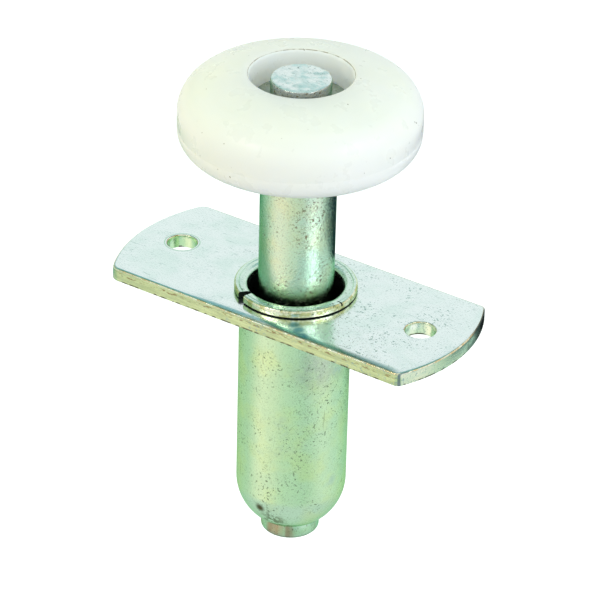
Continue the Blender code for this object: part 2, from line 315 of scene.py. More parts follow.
class Nodes:
    """Short calls for building one Principled material. Noise scales are in waves per metre."""

    def __init__(self, name):
        self.mat = bpy.data.materials.new(name)
        self.mat.use_nodes = True
        self.tree = self.mat.node_tree
        self.shader = self.tree.nodes["Principled BSDF"]
        coordinates = self.tree.nodes.new("ShaderNodeTexCoord")
        self.coords = coordinates.outputs["Object"]
        self.place = self.split(self.coords)
        self.facing = self.split(coordinates.outputs["Normal"])

    def set(self, **values):
        for key, value in values.items():
            self.shader.inputs[key.replace("_", " ")].default_value = value

    def link(self, source, target):
        self.tree.links.new(source, target)

    def mapped(self, scale):
        node = self.tree.nodes.new("ShaderNodeMapping")
        node.inputs["Scale"].default_value = scale
        self.link(self.coords, node.inputs["Vector"])
        return node.outputs["Vector"]

    def noise(self, scale, detail=4.0, roughness=0.55, vector=None, distortion=0.0):
        node = self.tree.nodes.new("ShaderNodeTexNoise")
        node.inputs["Scale"].default_value = scale
        node.inputs["Detail"].default_value = detail
        node.inputs["Roughness"].default_value = roughness
        node.inputs["Distortion"].default_value = distortion
        self.link(vector or self.coords, node.inputs["Vector"])
        return node.outputs["Fac"]

    def band(self, value, low, high, from_value=0.0, to_value=1.0):
        """Map low..high smoothly to from_value..to_value."""
        node = self.tree.nodes.new("ShaderNodeMapRange")
        node.interpolation_type = "SMOOTHSTEP"
        node.inputs["From Min"].default_value = low
        node.inputs["From Max"].default_value = high
        node.inputs["To Min"].default_value = from_value
        node.inputs["To Max"].default_value = to_value
        self.link(value, node.inputs["Value"])
        return node.outputs["Result"]

    def patches(self, scale, low, high, weak=0.0, strong=1.0, detail=3.0, roughness=0.55):
        """Cloudy patches: noise of one scale, cut softly between two levels."""
        return self.band(self.noise(scale, detail, roughness), low, high, weak, strong)

    def streaks(self, stretch, low, high, weak=0.0, strong=1.0, detail=3.0, roughness=0.6):
        """Drawn-out patches, with a scale for each of X, Y and Z."""
        return self.band(self.noise(1.0, detail, roughness, self.mapped(stretch)), low, high, weak, strong)

    def math(self, operation, first, second):
        node = self.tree.nodes.new("ShaderNodeMath")
        node.operation = operation
        for socket, value in zip(node.inputs, (first, second)):
            if isinstance(value, (int, float)):
                socket.default_value = value
            else:
                self.link(value, socket)
        return node.outputs["Value"]

    def all_of(self, first, *others):
        """The product of masks: 1 only where all of them are."""
        for other in others:
            first = self.math("MULTIPLY", first, other)
        return first

    def any_of(self, first, *others):
        """The strongest of several masks."""
        for other in others:
            first = self.math("MAXIMUM", first, other)
        return first

    def mix(self, fac, first, second):
        node = self.tree.nodes.new("ShaderNodeMix")
        node.data_type = "RGBA"
        self.link(fac, node.inputs["Factor"])
        for key, value in (("A", first), ("B", second)):
            socket = [s for s in node.inputs if s.name == key and s.type == "RGBA"][0]
            if isinstance(value, tuple):
                socket.default_value = (*value, 1.0)
            else:
                self.link(value, socket)
        return [s for s in node.outputs if s.type == "RGBA"][0]

    def bump(self, height, distance, strength=1.0):
        node = self.tree.nodes.new("ShaderNodeBump")
        node.inputs["Strength"].default_value = strength
        node.inputs["Distance"].default_value = distance
        self.link(height, node.inputs["Height"])
        self.link(node.outputs["Normal"], self.shader.inputs["Normal"])

    def split(self, vector):
        node = self.tree.nodes.new("ShaderNodeSeparateXYZ")
        self.link(vector, node.inputs["Vector"])
        return node.outputs

    def distance(self, place):
        """Distance from a place on the object."""
        node = self.tree.nodes.new("ShaderNodeVectorMath")
        node.operation = "DISTANCE"
        self.link(self.coords, node.inputs[0])
        node.inputs[1].default_value = place
        return node.outputs["Value"]

    def near(self, place, inner, outer):
        """1 within inner of a place on the object, fading to 0 at outer."""
        return self.band(self.distance(place), outer, inner)

    def between(self, value, low, high, soft):
        """1 between two values, fading to 0 over soft outside them."""
        return self.all_of(self.band(value, low - soft, low), self.band(value, high + soft, high))

    def radius(self):
        """Distance from the object's axis."""
        squares = [self.math("POWER", self.place[key], 2.0) for key in ("X", "Y")]
        return self.math("POWER", self.math("ADD", *squares), 0.5)


def worn_zinc(n, color, speck, rough, stretch, flecks=0.63, scratch=0.5, relief=0.02 * MM,
              tint=GREEN_GLOSS, wear=1.0):
    """Finish a zinc-plated skin: pits, scratches and fine hairs in its colour, its gloss and its relief.

    A lower flecks gives more pits, scratch is the strength of the scratches and stretch their direction.
    """
    n.set(Metallic=1.0)
    n.shader.inputs["Specular Tint"].default_value = (*tint, 1.0)
    worn = n.patches(170.0, 0.38, 0.64, detail=2.0)
    pits = n.all_of(n.patches(2800.0, flecks, flecks + 0.05, detail=2.0, roughness=0.6), worn, wear)
    lines = n.streaks(stretch, 0.64, 0.72, 0.0, scratch, roughness=0.7)
    swirl = n.noise(620.0, 2.0, 0.5, None, 2.5)
    hairs = n.all_of(n.band(swirl, 0.488, 0.5), n.band(swirl, 0.512, 0.5), worn,
                     n.patches(420.0, 0.54, 0.6, detail=2.0))
    grain = n.patches(4200.0, 0.5, 0.75, 0.0, 0.30, detail=2.0, roughness=0.7)
    for mask in (grain, pits, lines, hairs):
        color = n.mix(mask, color, speck)
    n.link(color, n.shader.inputs["Base Color"])
    n.link(n.patches(500.0, 0.3, 0.7, rough * 0.8, rough * 1.3, detail=4.0), n.shader.inputs["Roughness"])
    height = n.math("ADD", n.math("MULTIPLY", pits, -0.5), n.noise(2600.0, 4.0, 0.7))
    height = n.math("SUBTRACT", height, n.math("MULTIPLY", lines, 0.5))
    n.bump(height, relief, 0.7)
    return n.mat


# ---------------------------------------------------------------- materials

def plate_cuts(n):
    """The plate's sheared sides with a line of tool marks, its paler ends and the walls of its holes."""
    side = n.mix(n.streaks((260, 260, 2600), 0.35, 0.65), CUT_GREEN, CUT_GREEN_SHADE)
    tool_marks = n.streaks((1100, 1100, 3000), 0.50, 0.60, detail=4.0, roughness=0.7)
    tool_marks = n.all_of(tool_marks, n.between(n.place["Z"], 1.05 * MM, 1.35 * MM, 0.15 * MM))
    side = n.mix(tool_marks, side, TOOL_BROWN)
    end = n.mix(n.streaks((300, 300, 2200), 0.35, 0.65), CUT_END, CUT_END_SHADE)
    side = n.mix(n.band(n.math("ABSOLUTE", n.facing["X"], 0.0), 0.3, 0.8), side, end)
    for x, wall in ((-SCREW_SPACING / 2, LEFT_HOLE_WALL), (SCREW_SPACING / 2, RIGHT_HOLE_WALL)):
        hole = n.near((x, SCREW_HOLE_Y, PLATE_TOP / 2), 2.3 * MM, 2.6 * MM)
        side = n.mix(hole, side, wall)
    return side


def plate_face(n):
    """The plate's pale flat faces, with a ring line round the left screw hole."""
    face = n.mix(n.patches(240.0, 0.42, 0.68), PALE_ZINC, PALE_ZINC_SHADE)
    from_hole = n.distance((-SCREW_SPACING / 2, SCREW_HOLE_Y, PLATE_TOP / 2))
    return n.mix(n.between(from_hole, 2.52 * MM, 2.60 * MM, 0.06 * MM), face, RING_GREEN)


def plate_front_edge(n, color):
    """Painted reflections: teal bands where the sheet rolls over at its front edge, and blue streaks in front
    of the lip.
    """
    facing, place = n.facing, n.place
    # Painted reflection: teal where the sheet rolls over at the front edge
    rolled = n.all_of(n.between(facing["Z"], 0.978, 0.994, 0.003), n.band(facing["Y"], -0.03, -0.08))
    color = n.mix(rolled, color, ROLLED_EDGE_REFLECTION_TEAL)
    # Painted reflection: a darker teal sheen just inside the front edge, beside the cup
    inset = n.math("SUBTRACT", place["Y"], plate_low.y)
    sheen = n.all_of(n.band(inset, 1.3 * MM, 0.5 * MM), n.band(facing["Z"], 0.960, 0.975),
                     n.between(place["X"], 4 * MM, 20.5 * MM, 3 * MM), 0.85)
    color = n.mix(sheen, color, SHEEN_TEAL)
    # Painted reflection: blue streaks on the plate in front of the lip
    marks = [n.near((x, y, PLATE_TOP), 0.3 * MM, 1.1 * MM) for x, y in BLUE_REFLECTION_PLACES]
    return n.mix(n.all_of(n.any_of(*marks), n.band(facing["Z"], 0.93, 0.96, 0.0, 0.9)), color, REFLECTION_BLUE)


def plate_zinc():
    """Pale blue-green sheet with yellow-green cut edges and a brassy line round its top edge, flecked with a
    painted highlight.
    """
    n = Nodes("plate_zinc")
    facing, place = n.facing, n.place
    color = n.mix(n.band(facing["Z"], 0.5, 0.2), plate_face(n), plate_cuts(n))
    # The brassy top edge, partly flecked pale as a painted highlight
    cream = n.mix(n.patches(900.0, 0.40, 0.60, roughness=0.7), EDGE_BRASS, EDGE_HIGHLIGHT_CREAM)
    edge = n.all_of(n.band(facing["Z"], 0.12, 0.35), n.band(facing["Z"], 0.94, 0.88))
    color = n.mix(edge, color, cream)
    color = plate_front_edge(n, color)
    back = n.all_of(n.band(facing["Y"], 0.06, 0.16), n.between(facing["Z"], 0.30, 0.97, 0.02),
                    n.patches(300.0, 0.36, 0.52, 0.3, 1.0))
    color = n.mix(back, color, BACK_BROWN)
    corner = n.all_of(n.between(facing["X"], 0.52, 0.74, 0.08), n.band(place["Y"], -8 * MM, -9 * MM))
    color = n.mix(corner, color, CORNER_GREY)
    # A black strip across the back part of the right end, with an uneven front edge
    uneven_y = n.math("ADD", place["Y"], n.math("MULTIPLY", n.noise(500.0, 3.0), 5 * MM))
    end_strip = n.all_of(n.band(facing["X"], 0.3, 0.5), n.band(facing["Z"], 0.93, 0.85),
                    n.band(place["X"], 21.8 * MM, 22.2 * MM), n.band(uneven_y, 4.5 * MM, 7.5 * MM, 0.0, 0.92))
    color = n.mix(end_strip, color, END_STRIP_BLACK)
    rim = n.all_of(n.band(facing["Z"], 0.88, 0.94), n.band(facing["Z"], 0.974, 0.955),
                   n.patches(700.0, 0.36, 0.52, 0.2, 0.9))
    color = n.mix(rim, color, RIM_BROWN)
    burr = n.all_of(n.band(place["Z"], 0.32 * MM, 0.15 * MM), n.patches(800.0, 0.46, 0.56))
    color = n.mix(burr, color, BURR_BLACK)
    wear = n.band(place["X"], -14 * MM, 4 * MM, 0.25, 1.0)
    return worn_zinc(n, color, PLATE_SPECK, 0.17, (300, 2600, 300), flecks=0.612, tint=PALE_GLOSS, wear=wear)


def cup_zinc():
    """Green-tinted drawn cup whose rolled lip is as pale as the plate, with a brassy outer edge flecked with
    a painted highlight.
    """
    n = Nodes("cup_zinc")
    body = n.mix(n.patches(220.0, 0.40, 0.66), CUP_GREEN, CUP_YELLOW)
    bloom = n.all_of(n.patches(110.0, 0.55, 0.68, detail=2.0), n.patches(900.0, 0.3, 0.6))
    body = n.mix(bloom, body, CUP_BLOOM)
    grey = n.all_of(n.near(CUP_GREY_PLACE, 1.0 * MM, 5.0 * MM),
                    n.patches(800.0, 0.25, 0.65, 0.2, 0.9, detail=4.0, roughness=0.7))
    body = n.mix(grey, body, CUP_GREY)
    stain = n.all_of(n.near(STAIN_PLACE, 0.2 * MM, 1.0 * MM), n.patches(900.0, 0.1, 0.3))
    smear = n.all_of(n.near(SMEAR_PLACE, 0.6 * MM, 2.6 * MM), n.patches(1300.0, 0.42, 0.56, 0.0, 0.75))
    body = n.mix(n.any_of(stain, smear), body, STAIN_BROWN)
    # The lip's brassy outer edge, partly flecked pale as a painted highlight
    brass = n.mix(n.patches(900.0, 0.42, 0.58), LIP_BRASS, LIP_HIGHLIGHT_CREAM)
    lip = n.mix(n.band(n.radius(), 7.90 * MM, 8.00 * MM), LIP_PALE, brass)
    color = n.mix(n.band(n.place["Z"], 1.5 * MM, 2.0 * MM), body, lip)
    return worn_zinc(n, color, CUP_SPECK, 0.24, (700, 700, 90), 0.61, 0.30, 0.025 * MM, CUP_GLOSS)


def rod_zinc():
    """Plated plunger with brown flecks; the rod's end in the wheel's recess is greyer."""
    n = Nodes("rod_zinc")
    color = n.mix(n.patches(200.0, 0.40, 0.66), ROD_GREEN, ROD_YELLOW)
    color = n.mix(n.band(n.place["Z"], 29.0 * MM, 30.0 * MM), color, ROD_END_GREY)
    return worn_zinc(n, color, ROD_SPECK, 0.09, (900, 900, 120), 0.592, 0.4, 0.07 * MM, ROD_GLOSS)


def sheared_zinc():
    """The rod's sheared top: coarse, mottled and pale."""
    n = Nodes("sheared_zinc")
    color = n.mix(n.patches(500.0, 0.44, 0.62, detail=4.0, roughness=0.7), SHEARED_PALE, SHEARED_BLUE)
    return worn_zinc(n, color, SHEARED_SPECK, 0.38, (500, 1800, 500), tint=SHEARED_GLOSS)


def foot_zinc():
    """The rod's swaged foot, with brown streaks up its side and a dark lower edge."""
    n = Nodes("foot_zinc")
    color = n.mix(n.streaks((420, 420, 40), 0.46, 0.62), FOOT_GREEN, FOOT_BROWN)
    brown = n.all_of(n.near(FOOT_PATCH_PLACE, 1.3 * MM, 2.6 * MM),
                     n.streaks((1200, 1200, 60), 0.35, 0.60, 0.3, 1.0))
    color = n.mix(brown, color, FOOT_PATCH_BROWN)
    low_edge = n.band(n.place["Z"], rod_low.z + 0.5 * MM, rod_low.z + 0.2 * MM, 0.0, 0.7)
    color = n.mix(low_edge, color, FOOT_EDGE_DARK)
    return worn_zinc(n, color, FOOT_SPECK, 0.27, (900, 900, 90))


def plain_steel(name, base, shade, rough):
    n = Nodes(name)
    color = n.mix(n.patches(500.0, 0.4, 0.65, detail=4.0), base, shade)
    return worn_zinc(n, color, STEEL_SPECK, rough, (700, 700, 300), 0.62)


def painted_shade_bore():
    """Painted shade: the inside of the cup, black where the deep bore and the lip's hidden faces lie in
    shade.
    """
    n = Nodes("painted_shade_bore")
    n.set(Metallic=0.6)
    n.link(n.mix(n.noise(400.0), BORE_SHADE_BLACK, BORE_SHADE_GREY), n.shader.inputs["Base Color"])
    n.link(n.patches(600.0, 0.3, 0.7, 0.3, 0.5, detail=4.0), n.shader.inputs["Roughness"])
    return n.mat


def nylon():
    """Natural nylon: milky, with a satin gloss, a few brown specks and dirt round the recess rim."""
    n = Nodes("moulded_nylon")
    n.set(Subsurface_Weight=0.8, Subsurface_Scale=0.008, Specular_IOR_Level=0.5)
    n.shader.inputs["Subsurface Radius"].default_value = (1.0, 0.95, 0.85)
    color = n.mix(n.patches(90.0, 0.35, 0.7, detail=2.0), NYLON_MILKY, NYLON_CREAM)
    radius = n.radius()
    # Painted light: the recess is whitened to stand in for light passing through the nylon
    color = n.mix(n.band(radius, 6.95 * MM, 6.75 * MM), color, RECESS_PAINTED_LIGHT)
    specks = n.patches(1500.0, 0.78, 0.81, 0.0, 0.8, detail=1.0)
    dirt = n.all_of(n.between(radius, 6.87 * MM, 6.91 * MM, 0.05 * MM),
                    n.patches(900.0, 0.40, 0.56, 0.4, 1.0, roughness=0.7),
                    n.patches(160.0, 0.36, 0.52, 0.15, 0.85, detail=1.0))
    color = n.mix(n.any_of(specks, dirt), color, DIRT_BROWN)
    n.link(color, n.shader.inputs["Base Color"])
    n.link(n.patches(300.0, 0.3, 0.7, 0.26, 0.34, detail=4.0), n.shader.inputs["Roughness"])
    return n.mat


# ---------------------------------------------------------------- pieces

def cup_profile():
    """Outside of the cup from the lip down, under the bowl, up the bore to the rolled mouth.

    Also gives the runs painted dark as shade: the lip's underside, and the bore below its plated mouth.
    """
    bore = CUP_RADIUS - CUP_WALL
    center_r = CUP_RADIUS - BOWL_RADIUS
    bottom = cup_low.z
    turn = math.degrees(math.acos((CUP_FLAT_RADIUS - center_r) / BOWL_RADIUS))
    center_z = bottom + BOWL_RADIUS * math.sin(math.radians(turn))
    inner = BOWL_RADIUS - CUP_WALL
    floor = bottom + CUP_WALL
    inner_turn = math.degrees(math.asin((center_z - floor) / inner))
    groove = LIP_RADIUS - GROOVE_INSET
    points = [(groove - GROOVE_HALF_WIDTH, LIP_TOP), (groove, LIP_TOP - GROOVE_DEPTH),
              (groove + GROOVE_HALF_WIDTH, LIP_TOP)]
    points += arc(LIP_RADIUS - LIP_EDGE_ROUND, LIP_TOP - LIP_EDGE_ROUND, LIP_EDGE_ROUND, 90, 0, 6)
    under_lip = len(points)
    points += [(LIP_RADIUS, LIP_UNDER + CHAMFER), (LIP_RADIUS - CHAMFER, LIP_UNDER), (CUP_RADIUS, LIP_UNDER)]
    dark = list(range(under_lip, len(points)))
    points += [(CUP_RADIUS, PLATE_TOP)] + line((CUP_RADIUS, PLATE_TOP), (CUP_RADIUS, center_z), 14)
    points += arc(center_r, center_z, BOWL_RADIUS, 0, -turn, 24)[1:]
    points += [(CUP_HOLE_RADIUS + CHAMFER, bottom), (CUP_HOLE_RADIUS, bottom + CHAMFER)]
    bore_start = len(points)
    points += [(CUP_HOLE_RADIUS, floor)] + arc(center_r, center_z, inner, -inner_turn, 0, 12)
    dark += range(bore_start, len(points))
    points += [(bore, LIP_TOP - MOUTH_ROUND - MOUTH_BAND)]
    points += arc(bore + MOUTH_ROUND, LIP_TOP - MOUTH_ROUND, MOUTH_ROUND, 180, 90, 12)
    return points, dark


def lip_shape(r, z, angle):
    """The rolled lip waves a little, and its front arm stands up from the split to the nick."""
    if z < PLATE_TOP:
        return r, z
    height = (z - PLATE_TOP) / (LIP_TOP - PLATE_TOP)
    arm_length = (NICK_ANGLE - SPLIT_ANGLE) % TAU
    along = angle_from(angle, SPLIT_ANGLE)
    lift = 0.0
    if 0 < along < arm_length:
        lift = ARM_LIFT * smooth_step((arm_length - along) / ARM_FADE)
    wave = LIP_WAVE * noise.noise(Vector((3 * math.cos(angle), 3 * math.sin(angle), 1.7)))
    out = LIP_SWAY * noise.noise(Vector((2 * math.cos(angle), 2 * math.sin(angle), 5.1)))
    share = max(0.0, (r - LIP_STILL_RADIUS) / (LIP_RADIUS - LIP_STILL_RADIUS))
    return r + out * share * height, z + (wave - LIP_WAVE + lift) * height


def lip_cutter(name, corners, low, high, angle, materials):
    """A block that cuts the lip at an angle, drawn as if that place lay on +X.

    It carries the cup's two materials: plated, but black as painted shade where it leaves the left arm's end.
    """
    block = prism(name, corners, low, high)
    for material in materials:
        block.data.materials.append(material)
    for face in block.data.polygons:
        face.material_index = 1 if face.normal.y < -0.5 else 0
    block.data.transform(Matrix.Rotation(angle, 4, "Z"))
    return block


def split_block(materials):
    """The V-shaped opening of the split, wider towards the left arm."""
    inner, outer = CUP_RADIUS - CUP_WALL - MOUTH_ROUND, LIP_RADIUS + 1.0 * MM
    corners = [(inner, -0.25 * MM), (outer, -1.15 * MM), (outer, 0.62 * MM), (inner, 0.25 * MM)]
    return lip_cutter("split", corners, PLATE_TOP + 0.02 * MM, LIP_TOP + 1.0 * MM, SPLIT_ANGLE, materials)


def nick_block(materials):
    """The small notch where the front arm ends."""
    inner, outer = 7.3 * MM, 9.0 * MM
    corners = [(inner, -0.05 * MM), (outer, -0.22 * MM), (outer, 0.22 * MM), (inner, 0.05 * MM)]
    return lip_cutter("nick", corners, LIP_TOP - 0.5 * MM, LIP_TOP + 1.0 * MM, NICK_ANGLE, materials)


def make_cup(plated, dark):
    profile, painted_shade_runs = cup_profile()

    # Runs painted as shade take the black bore material
    def slot(i):
        return 1 if i in painted_shade_runs else 0

    cup = lathe("housing_cup_fine", profile, [plated, dark], 192, True, lip_shape, slot, 30)
    carve(cup, split_block([plated, dark]))
    carve(cup, nick_block([plated, dark]))
    cup.data.set_sharp_from_angle(angle=math.radians(30))
    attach(cup, "root")
    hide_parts("housing_cup")


def plate_outline(inset):
    """The plate's outline moved inwards: two straight sides, two arched ends, round corners."""
    half = (plate_high.y - plate_low.y) / 2 - inset
    middle = (plate_high.y + plate_low.y) / 2
    end_radius = PLATE_END_RADIUS - inset
    center = plate_high.x - PLATE_END_RADIUS
    ends = {}
    for end, corner in PLATE_CORNERS.items():
        corner = max(corner - inset, 0.1 * MM)
        corner_y = half - corner
        corner_x = center + math.sqrt((end_radius - corner) ** 2 - corner_y ** 2)
        swing = math.degrees(math.asin(corner_y / (end_radius - corner)))
        quarter = arc(center, 0.0, end_radius, 0, swing, 16)
        quarter += arc(corner_x, corner_y, corner, swing, 90, 8)[1:]
        ends[end] = [(x, -y) for x, y in reversed(quarter[1:])] + quarter
    right = ends[1]
    left = [(-x, -y) for x, y in ends[-1]]
    back = line(right[-1], left[0], 48)[:-1]
    front = line(left[-1], right[0], 48)[:-1]
    return [(x, y + middle) for x, y in right + back + left + front]


def roll_depth(x, y):
    """How far the top face rolls over at the front edge: deepest beside the cup, none at the ends."""
    along = smooth_step((x + 15 * MM) / (13 * MM)) * smooth_step((21 * MM - x) / (12 * MM))
    return 0.02 * MM + ROLL_DEPTH * (along if y < 0 else 0.0)


def plate_section(roll):
    """(inset, height) up the sheared edge: burr, cut face, round edge and the sheet's roll-over."""
    round_start = PLATE_TOP - roll - PLATE_EDGE_ROUND
    section = [(0.30 * MM, 0.0), (0.06 * MM, 0.0), (0.0, 0.08 * MM), (0.0, round_start)]
    edge = arc(0.0, round_start, PLATE_EDGE_ROUND, 0, 72, 6)[1:]
    section += [(PLATE_EDGE_ROUND - x, z) for x, z in edge]
    start_inset, start_z = section[-1]
    steps = 8
    for i in range(1, steps + 1):
        share = i / steps
        rise = 1 - (1 - share) ** 3
        section.append((start_inset + ROLL_WIDTH * share, start_z + (PLATE_TOP - start_z) * rise))
    section.append((start_inset + 2.5 * MM, PLATE_TOP))
    return section


def screw_hole_cutter(x):
    """Cutter for a screw hole: rounded at the top, nearly sharp below."""
    radius, high, low = SCREW_HOLE_RADIUS, HOLE_ROUND, HOLE_LOW_ROUND
    profile = [(0.0, PLATE_TOP + MM), (radius + high, PLATE_TOP + MM), (radius + high, PLATE_TOP)]
    profile += arc(radius + high, PLATE_TOP - high, high, 90, 180, 5)
    profile += arc(radius + low, low, low, 180, 270, 3)
    profile += [(radius + low, -MM), (0.0, -MM)]
    cutter = lathe("screw_hole", profile, [], 64, False)
    cutter.data.transform(Matrix.Translation((x, SCREW_HOLE_Y, 0.0)))
    return cutter


def plate_mesh():
    """The plate without its holes: its edge section carried round the outline."""
    work = bmesh.new()
    rings = []
    columns = [plate_section(roll_depth(x, y)) for x, y in plate_outline(0.0)]
    for i, (inset, _) in enumerate(columns[0]):
        outline = plate_outline(inset)
        rings.append([work.verts.new((x, y, column[i][1])) for (x, y), column in zip(outline, columns)])
    count = len(columns)
    for lower, upper in zip(rings, rings[1:]):
        for k in range(count):
            n = (k + 1) % count
            work.faces.new([lower[k], lower[n], upper[n], upper[k]])
    work.faces.new(list(reversed(rings[0])))
    work.faces.new(rings[-1])
    mesh = bpy.data.meshes.new("mounting_plate_fine")
    work.to_mesh(mesh)
    work.free()
    return mesh


def make_plate(plated):
    plate = add_object("mounting_plate_fine", plate_mesh(), [plated])
    for x in (-SCREW_SPACING / 2, SCREW_SPACING / 2):
        carve(plate, screw_hole_cutter(x))
    hole = CUP_RADIUS + CUP_HOLE_GAP
    carve(plate, lathe("middle", [(0, 3 * MM), (hole, 3 * MM), (hole, -MM), (0, -MM)], [], 192, False))
    plate.data.shade_smooth()
    plate.data.set_sharp_from_angle(angle=math.radians(40))
    weighted = plate.modifiers.new("Even shading", "WEIGHTED_NORMAL")
    weighted.keep_sharp = True
    apply_modifiers(plate)
    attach(plate, "root")
    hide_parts("mounting_plate")


def rod_shape(r, z, angle):
    """The rod's sheared top is uneven, with a burr along the edge nearest the camera."""
    top = rod_high.z
    if z < top - 1.0 * MM:
        return r, z
    place = Vector((r * math.cos(angle) * 900, r * math.sin(angle) * 900, 3.0))
    uneven = ROD_ROUGHNESS * (noise.noise(place) + 0.5 * noise.noise(place * 2.7))
    front = smooth_step(1 - abs(angle_from(angle, CAMERA_AZIMUTH - math.pi / 2)) / 0.9)
    jag = 0.5 + 0.5 * noise.noise(Vector((9 * math.cos(angle), 9 * math.sin(angle), 8.2)))
    rim = smooth_step((r - 3.3 * MM) / (0.6 * MM))
    burr = ROD_BURR * front * jag * rim
    return r + burr, z + uneven - 0.75 * burr


def make_rod(plated, rough_end, foot):
    top, bottom = rod_high.z, rod_low.z
    foot_top = cup_low.z - 0.06 * MM
    edge = ROD_EDGE_ROUND
    profile = [(0.0, top)] + line((0.0, top), (ROD_RADIUS - edge, top), 16)
    top_end = len(profile)
    profile += arc(ROD_RADIUS - edge, top - edge, edge, 90, 0, 4)[1:]
    profile += line(profile[-1], (ROD_RADIUS, top - 1.2 * MM), 5)
    profile += [(ROD_RADIUS, sleeve_low.z), (SHANK_RADIUS, sleeve_low.z), (SHANK_RADIUS, foot_top)]
    foot_start = len(profile) - 1
    profile += [(FOOT_RADIUS - 0.1 * MM, foot_top), (FOOT_RADIUS, foot_top - 0.15 * MM)]
    profile += arc(FOOT_RADIUS - FOOT_EDGE_ROUND, bottom + FOOT_EDGE_ROUND, FOOT_EDGE_ROUND, 0, -90, 5)
    profile += [(0.0, bottom)]

    def slot(i):
        if i <= top_end:
            return 1
        return 2 if i >= foot_start else 0

    rod = lathe("axle_rod_fine", profile, [plated, rough_end, foot], 128, False, rod_shape, slot)
    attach(rod, "plunger")
    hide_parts("axle_rod")


def make_sleeve(plated):
    inner = ROD_RADIUS + 0.1 * MM
    low, high = sleeve_low.z, sleeve_high.z
    edge = 0.2 * MM
    profile = arc(SLEEVE_RADIUS - edge, high - edge, edge, 90, 0, 3)
    profile += line((SLEEVE_RADIUS, high - edge), (SLEEVE_RADIUS, low + edge), 12)
    profile += arc(SLEEVE_RADIUS - edge, low + edge, edge, 0, -90, 3)[1:]
    profile += [(inner, low), (inner, high)]
    sleeve = lathe("plunger_sleeve_fine", profile, [plated], 160)
    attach(sleeve, "plunger")
    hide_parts("plunger_sleeve")


def make_wheel(mat):
    top, bottom = wheel_high.z, wheel_low.z
    round_top, round_low, rim = 4.2 * MM, 2.8 * MM, 0.55 * MM
    seam = bottom + round_low + 0.35 * MM
    shoulder = arc(WHEEL_RADIUS - round_top, WHEEL_SHOULDER - round_top, round_top, 74, 0, 22)
    crown = []
    for i in range(1, 10):
        share = i / 10
        r = RECESS_RADIUS + rim + (shoulder[0][0] - RECESS_RADIUS - rim) * share
        straight = top + (shoulder[0][1] - top) * share
        crown.append((r, straight + 0.22 * MM * math.sin(math.pi * share)))
    profile = crown + shoulder
    profile += [(WHEEL_RADIUS, seam + 0.25 * MM), (WHEEL_RADIUS - 0.06 * MM, seam + 0.08 * MM),
                (WHEEL_RADIUS - 0.06 * MM, seam), (WHEEL_RADIUS - 0.02 * MM, seam - 0.15 * MM)]
    profile += arc(WHEEL_RADIUS - round_low, bottom + round_low, round_low, 0, -90, 14)
    profile += [(WHEEL_BORE + 0.2 * MM, bottom), (WHEEL_BORE, bottom + 0.2 * MM)]
    profile += [(WHEEL_BORE, RECESS_FLOOR), (RECESS_RADIUS - 0.3 * MM, RECESS_FLOOR)]
    profile += arc(RECESS_RADIUS - 0.4 * MM, RECESS_FLOOR + 0.3 * MM, 0.3 * MM, -90, 0, 4)
    profile += arc(RECESS_RADIUS + rim, top - rim, rim, 180, 90, 8)
    wheel = lathe("nylon_wheel_fine", profile, [mat], 192)
    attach(wheel, "wheel")
    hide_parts("nylon_wheel")


def make_washer(node, body, inner, mat):
    """A punched washer: rounded on one face, with a small burr on the other."""
    low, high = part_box(node)
    outer = high.x
    roll, burr = 0.22 * MM, 0.08 * MM
    profile = [(inner + roll, high.z)] + arc(outer - roll, high.z - roll, roll, 90, 0, 4)
    profile += [(outer, low.z + burr), (outer - burr, low.z), (inner + burr, low.z),
                (inner, low.z + burr)]
    profile += arc(inner + roll, high.z - roll, roll, 180, 100, 4)
    ring = lathe(node + "_fine", profile, [mat], 128)
    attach(ring, body)
    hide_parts(node)


def make_collar(mat):
    low, high = collar_low.z, collar_high.z
    outer, inner = collar_high.x, SHANK_RADIUS + 0.15 * MM
    groove = (low + high) / 2
    profile = [(outer - 0.25 * MM, high), (outer, high - 0.25 * MM), (outer, groove + 0.4 * MM),
               (outer - 0.3 * MM, groove + 0.2 * MM), (outer - 0.3 * MM, groove - 0.2 * MM),
               (outer, groove - 0.4 * MM), (outer, low + 0.25 * MM), (outer - 0.25 * MM, low),
               (inner, low), (inner, high)]
    collar = lathe("guide_collar_fine", profile, [mat], 128)
    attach(collar, "slider")
    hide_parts("guide_collar")


def make_spring(mat):
    """Compression spring with closed ends, as a fine tube along its helix."""
    wire, mean, sides = 0.5 * MM, 4.9 * MM, 14
    low, high = spring_low.z + wire, spring_high.z - wire
    closed_turns, open_turns = 0.75, 4.5
    turns = open_turns + 2 * closed_turns
    rise = closed_turns * 2.1 * wire
    count = int(turns * 40) + 1
    work = bmesh.new()
    rings = []
    for i in range(count):
        turn = turns * i / (count - 1)
        angle = TAU * turn
        if turn < closed_turns:
            z = low + rise * turn / closed_turns
        elif turn > closed_turns + open_turns:
            z = high - rise * (turns - turn) / closed_turns
        else:
            z = low + rise + (high - low - 2 * rise) * (turn - closed_turns) / open_turns
        radial = Vector((math.cos(angle), math.sin(angle), 0.0))
        center = radial * mean + Vector((0.0, 0.0, z))
        ring = []
        for k in range(sides):
            a = TAU * k / sides
            around_wire = radial * math.cos(a) + Vector((0, 0, math.sin(a)))
            ring.append(work.verts.new(center + around_wire * wire))
        rings.append(ring)
    for first, second in zip(rings, rings[1:]):
        for k in range(sides):
            n = (k + 1) % sides
            work.faces.new([first[k], first[n], second[n], second[k]])
    work.faces.new(list(reversed(rings[0])))
    work.faces.new(rings[-1])
    bmesh.ops.recalc_face_normals(work, faces=work.faces)
    mesh = bpy.data.meshes.new("compression_spring_fine")
    work.to_mesh(mesh)
    work.free()
    spring = add_object("compression_spring_fine", mesh, [mat])
    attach(spring, "root")
    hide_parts("compression_spring")
    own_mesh(spring)


# ---------------------------------------------------------------- stage

